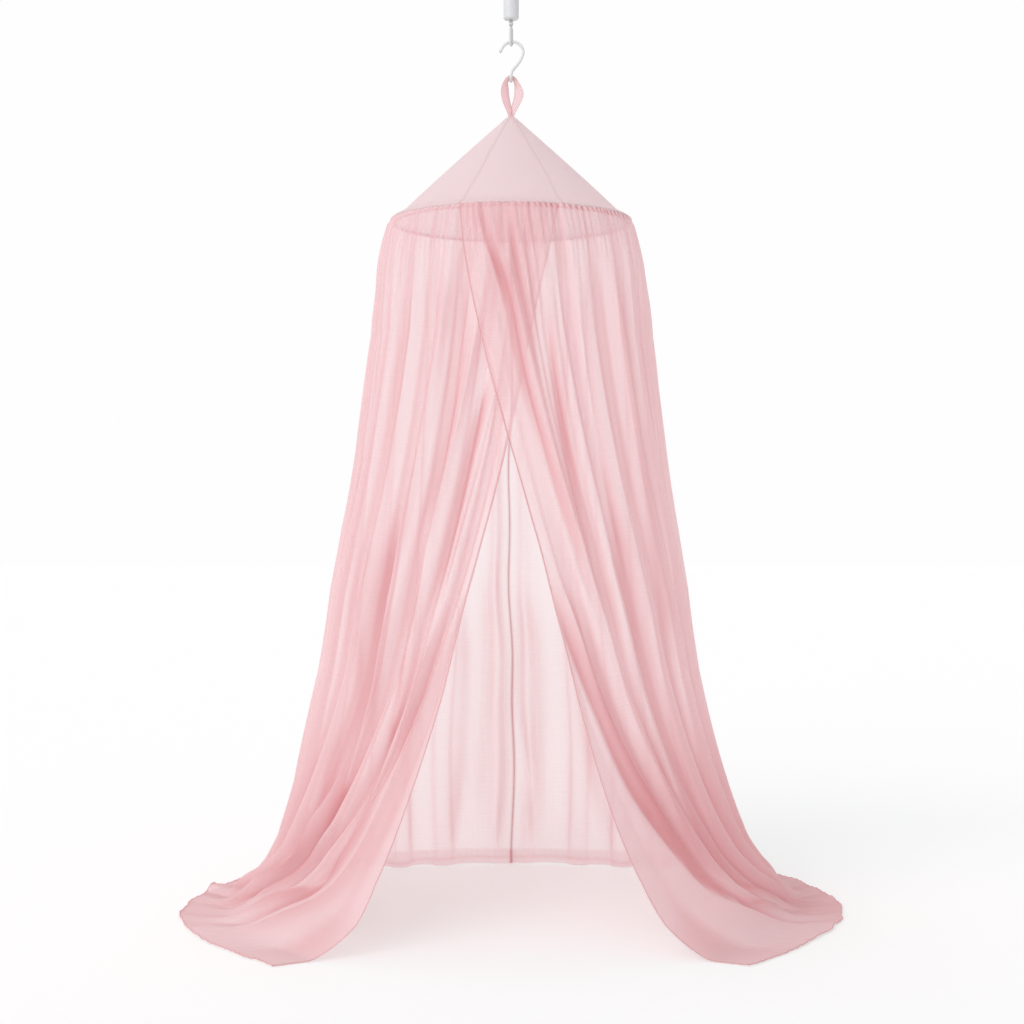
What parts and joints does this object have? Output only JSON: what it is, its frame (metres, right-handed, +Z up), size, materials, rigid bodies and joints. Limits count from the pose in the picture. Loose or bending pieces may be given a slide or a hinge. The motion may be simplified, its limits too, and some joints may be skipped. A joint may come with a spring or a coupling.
{
  "type": "bed canopy on a hoop with a hook and ceiling hanger",
  "caption": "Pointed fabric roof on a round hoop with two sheer gathered curtains that cross, part into a tent opening and trail on the floor, hung by a loop from a hook.",
  "frame": {"origin": "centre of the flat top face of the ceiling hanger", "axes": "+Z up, the opening between the curtains faces -Y, +X to the right seen from the front"},
  "size_m": [1.6145, 1.357, 2.31],
  "materials": {
    "voile": "sheer pink voile, matt, fine plain weave, narrow rolled hems",
    "roof_cloth": "close woven pink cotton, matt, flat-felled seams between the gores",
    "tape": "folded pink cloth tape, matt",
    "hoop_rod": "plain rod inside the heading, seen as a faint line through the cloth",
    "hook_metal": "white coated wire, satin",
    "hanger_white": "white moulded plastic, satin"
  },
  "bodies": {
    "root": {"curtain_right": "voile", "curtain_left": "voile", "hanging_loop": "tape", "hoop": "hoop_rod", "s_hook": "hook_metal", "swivel_eye": "hanger_white", "swivel_stem": "hanger_white", "ceiling_barrel": "hanger_white", "roof_gore_1": "roof_cloth", "roof_gore_2": "roof_cloth", "roof_gore_3": "roof_cloth", "roof_gore_4": "roof_cloth", "roof_gore_5": "roof_cloth", "roof_gore_6": "roof_cloth", "roof_gore_7": "roof_cloth", "roof_gore_8": "roof_cloth"}
  },
  "joints": []
}
